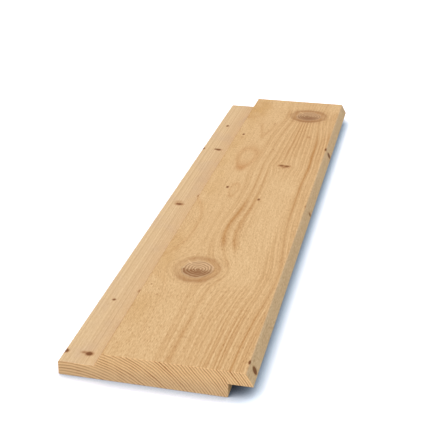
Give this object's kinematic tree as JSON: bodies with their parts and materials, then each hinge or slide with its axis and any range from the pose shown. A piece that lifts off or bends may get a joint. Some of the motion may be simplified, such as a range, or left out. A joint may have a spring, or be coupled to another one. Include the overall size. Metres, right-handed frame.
{
  "type": "shiplap board",
  "caption": "Planed softwood cladding board with a V-jointed half-lap along each long edge, cut square at the ends.",
  "frame": {"origin": "middle of the board's overall rectangle, on the plane of its back face, which lies on the floor", "axes": "+Y along the grain, +Z from the back face to the visible face, +X from the lower lap to the upper lap"},
  "size_m": [0.145, 0.6, 0.022],
  "materials": {
    "planed_pine": "planed, untreated, with knots"
  },
  "bodies": {
    "root": {"board": "planed_pine"}
  },
  "joints": []
}
